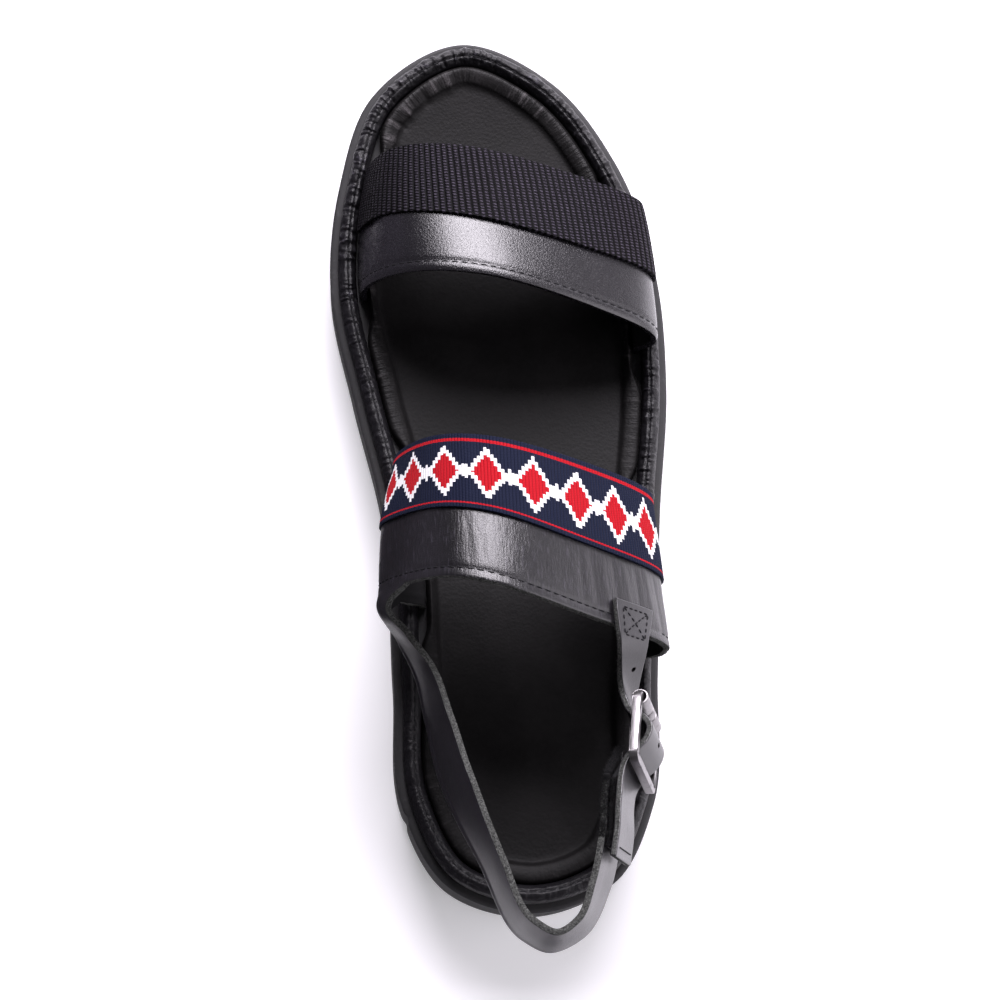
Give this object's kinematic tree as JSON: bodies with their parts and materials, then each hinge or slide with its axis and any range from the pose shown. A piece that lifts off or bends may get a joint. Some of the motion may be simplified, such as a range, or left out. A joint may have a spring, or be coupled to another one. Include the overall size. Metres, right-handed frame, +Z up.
{
  "type": "strap sandal",
  "caption": "Right leather sandal with a webbed toe strap, a braid-trimmed instep strap, a heel strap closed by a roller buckle, and a thick rubber sole with toe spring.",
  "frame": {"origin": "on the floor, under the middle of the sandal's box", "axes": "+Y towards the toe, +X to the outer side of the foot, +Z up"},
  "size_m": [0.111, 0.3058, 0.0915],
  "materials": {
    "black_leather": "smooth black, softly polished",
    "rim_leather": "black, puckered over the rim",
    "insole_leather": "dull black lining leather",
    "dark_rubber": "matt dark grey",
    "black_webbing": "ribbed black webbing",
    "navy_braid": "navy woven braid with small red and white figures",
    "hook_tape": "black hook tape",
    "gunmetal": "brushed gunmetal, worn bright on its edges"
  },
  "bodies": {
    "root": {"outsole": "dark_rubber", "footbed_rim": "rim_leather", "insole": "insole_leather", "toe_strap": "black_leather", "instep_heel_strap": "black_leather", "toe_webbing": "black_webbing", "instep_ribbon": "navy_braid", "buckle_strap": "black_leather", "hook_tape": "hook_tape", "buckle_frame": "gunmetal", "buckle_roller_upper": "gunmetal", "buckle_eye": "gunmetal", "buckle_roller_lower": "gunmetal"}
  },
  "joints": []
}
